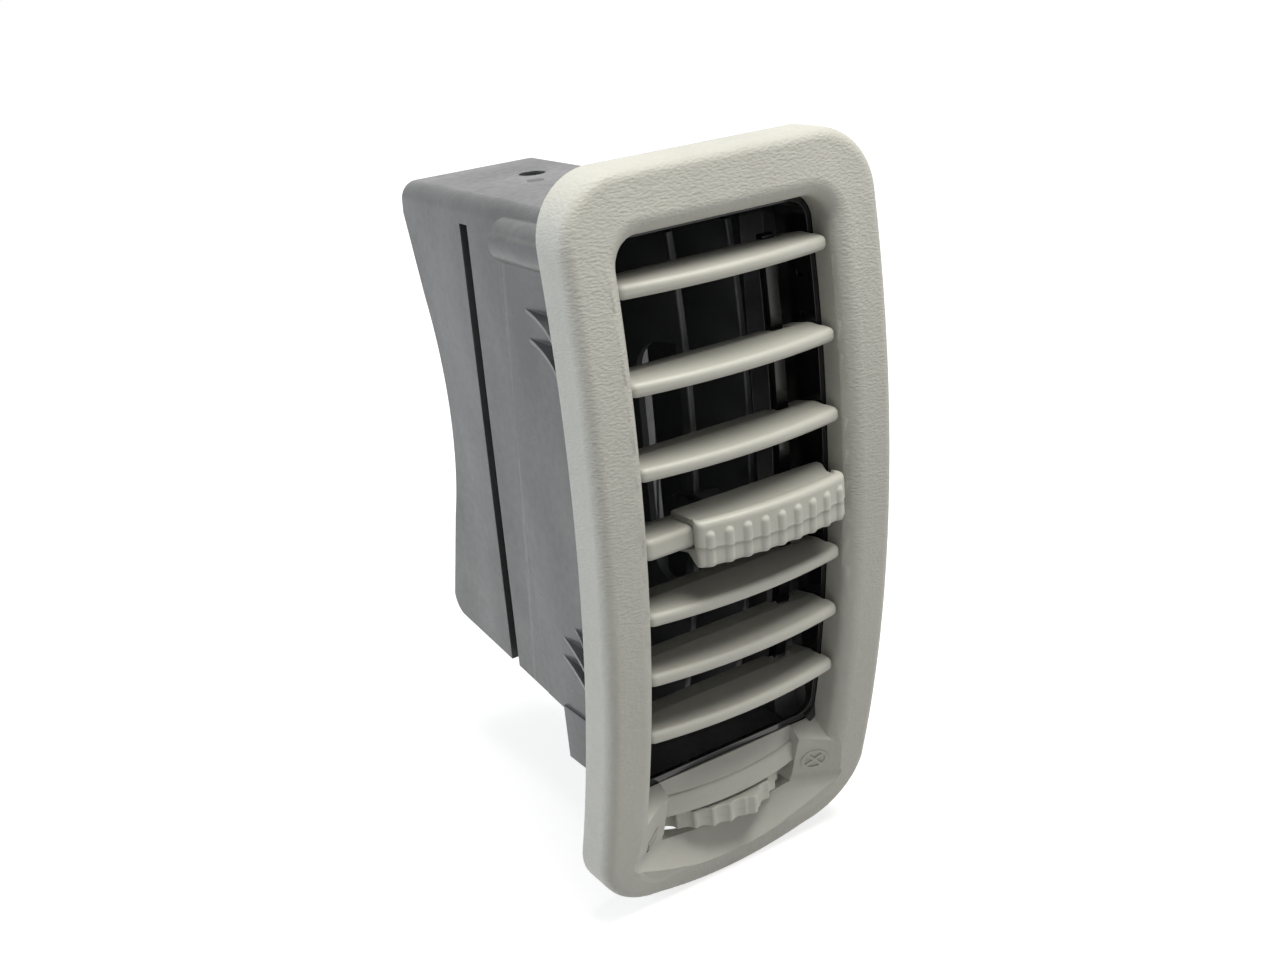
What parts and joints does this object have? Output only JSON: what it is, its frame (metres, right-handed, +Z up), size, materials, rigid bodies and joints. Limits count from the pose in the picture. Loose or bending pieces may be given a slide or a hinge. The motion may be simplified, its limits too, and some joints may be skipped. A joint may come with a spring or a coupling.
{
  "type": "dashboard air vent",
  "caption": "Tall dashboard air vent: bowed grey bezel, tilting slats with a sliding knob, upright vanes, thumbwheel and a shut-off flap in a flat duct.",
  "frame": {"origin": "middle of the outlet's width, at the foremost line of the slats' front corners, 1.5 mm below the knob slat's middle", "axes": "+X to the right seen from the cabin, +Y back into the dashboard, +Z up"},
  "size_m": [0.092, 0.1447, 0.2105],
  "materials": {
    "light_grey": "fine grained satin",
    "gloss_black": "glossy",
    "duct_grey": "satin",
    "vane_grey": "satin",
    "seal_rubber": "matt",
    "screw_steel": "bright zinc"
  },
  "bodies": {
    "housing": {"bezel": "light_grey", "slat_frame": "gloss_black", "duct_housing": "duct_grey", "frame_screws": "screw_steel"},
    "slat_1": {"slat_1": "light_grey"},
    "slat_2": {"slat_2": "light_grey"},
    "slat_3": {"slat_3": "light_grey"},
    "slat_4": {"slat_4": "light_grey"},
    "slat_5": {"slat_5": "light_grey"},
    "slat_6": {"slat_6": "light_grey"},
    "slat_7": {"slat_7": "light_grey"},
    "slat_link": {"slat_link": "gloss_black"},
    "knob": {"knob": "light_grey", "knob_fork": "vane_grey", "knob_pad": "seal_rubber"},
    "vane_left": {"vane_left": "vane_grey"},
    "vane_right": {"vane_right": "vane_grey"},
    "vane_link": {"vane_link": "vane_grey"},
    "wheel": {"thumbwheel": "light_grey", "wheel_crank": "vane_grey", "wheel_screw": "screw_steel"},
    "damper": {"damper_flap": "vane_grey", "damper_seal": "seal_rubber", "damper_crank": "vane_grey", "crank_screw": "screw_steel"},
    "damper_rod": {"damper_link": "vane_grey"}
  },
  "joints": [
    {"name": "slat_1_tilt", "type": "hinge", "parent": "housing", "child": "slat_1", "pos_m": [0, 0.00993, 0.0665], "axis": [1, 0, 0], "range_deg": [-20, 20]},
    {"name": "slat_2_tilt", "type": "hinge", "parent": "housing", "child": "slat_2", "pos_m": [0, 0.00865, 0.043], "axis": [1, 0, 0], "range_deg": [-20, 20]},
    {"name": "slat_3_tilt", "type": "hinge", "parent": "housing", "child": "slat_3", "pos_m": [0, 0.00862, 0.0216], "axis": [1, 0, 0], "range_deg": [-20, 20]},
    {"name": "slat_4_tilt", "type": "hinge", "parent": "housing", "child": "slat_4", "pos_m": [0, 0.00957, 0.0015], "axis": [1, 0, 0], "range_deg": [-20, 20]},
    {"name": "slat_5_tilt", "type": "hinge", "parent": "housing", "child": "slat_5", "pos_m": [0, 0.01144, -0.0182], "axis": [1, 0, 0], "range_deg": [-20, 20]},
    {"name": "slat_6_tilt", "type": "hinge", "parent": "housing", "child": "slat_6", "pos_m": [0, 0.01397, -0.0363], "axis": [1, 0, 0], "range_deg": [-20, 20]},
    {"name": "slat_7_tilt", "type": "hinge", "parent": "housing", "child": "slat_7", "pos_m": [0, 0.01738, -0.0547], "axis": [1, 0, 0], "range_deg": [-20, 20]},
    {"name": "slat_link_pin", "type": "hinge", "parent": "slat_4", "child": "slat_link", "pos_m": [0, 0.01497, 0.0015], "axis": [1, 0, 0], "range_deg": [-20, 20]},
    {"name": "knob_slide", "type": "slide", "parent": "slat_4", "child": "knob", "axis": [1, 0, 0], "range_m": [-0.01146, 0]},
    {"name": "vane_left_turn", "type": "hinge", "parent": "housing", "child": "vane_left", "pos_m": [-0.009, 0.0373, 0], "axis": [0, 0, 1], "range_deg": [-38.2, 0]},
    {"name": "vane_right_turn", "type": "hinge", "parent": "housing", "child": "vane_right", "pos_m": [0.009, 0.0373, 0], "axis": [0, 0, 1], "range_deg": [-38.2, 0]},
    {"name": "vane_link_pin", "type": "hinge", "parent": "vane_left", "child": "vane_link", "pos_m": [-0.01161, 0.04486, 0.0747], "axis": [0, 0, 1], "range_deg": [0, 38.2]},
    {"name": "wheel_turn", "type": "hinge", "parent": "housing", "child": "wheel", "pos_m": [0, 0.0393, -0.091], "axis": [0, 0, 1], "range_deg": [-54, 36]},
    {"name": "damper_turn", "type": "hinge", "parent": "housing", "child": "damper", "pos_m": [0, 0.0926, 0], "axis": [0, 0, 1], "range_deg": [-54, 36]},
    {"name": "damper_rod_pin", "type": "hinge", "parent": "wheel", "child": "damper_rod", "pos_m": [0.0079, 0.04055, -0.0818], "axis": [0, 0, 1], "range_deg": [-36, 54]}
  ],
  "couplings": [
    {"joint": "slat_1_tilt", "follows": "slat_4_tilt", "ratio": 1},
    {"joint": "slat_2_tilt", "follows": "slat_4_tilt", "ratio": 1},
    {"joint": "slat_3_tilt", "follows": "slat_4_tilt", "ratio": 1},
    {"joint": "slat_5_tilt", "follows": "slat_4_tilt", "ratio": 1},
    {"joint": "slat_6_tilt", "follows": "slat_4_tilt", "ratio": 1},
    {"joint": "slat_7_tilt", "follows": "slat_4_tilt", "ratio": 1},
    {"joint": "slat_link_pin", "follows": "slat_4_tilt", "ratio": -1},
    {"joint": "vane_left_turn", "follows": "knob_slide", "rad_per_m": 57.849},
    {"joint": "vane_right_turn", "follows": "knob_slide", "rad_per_m": 57.849},
    {"joint": "vane_link_pin", "follows": "knob_slide", "rad_per_m": -57.849},
    {"joint": "damper_turn", "follows": "wheel_turn", "ratio": 1},
    {"joint": "damper_rod_pin", "follows": "wheel_turn", "ratio": -1}
  ]
}
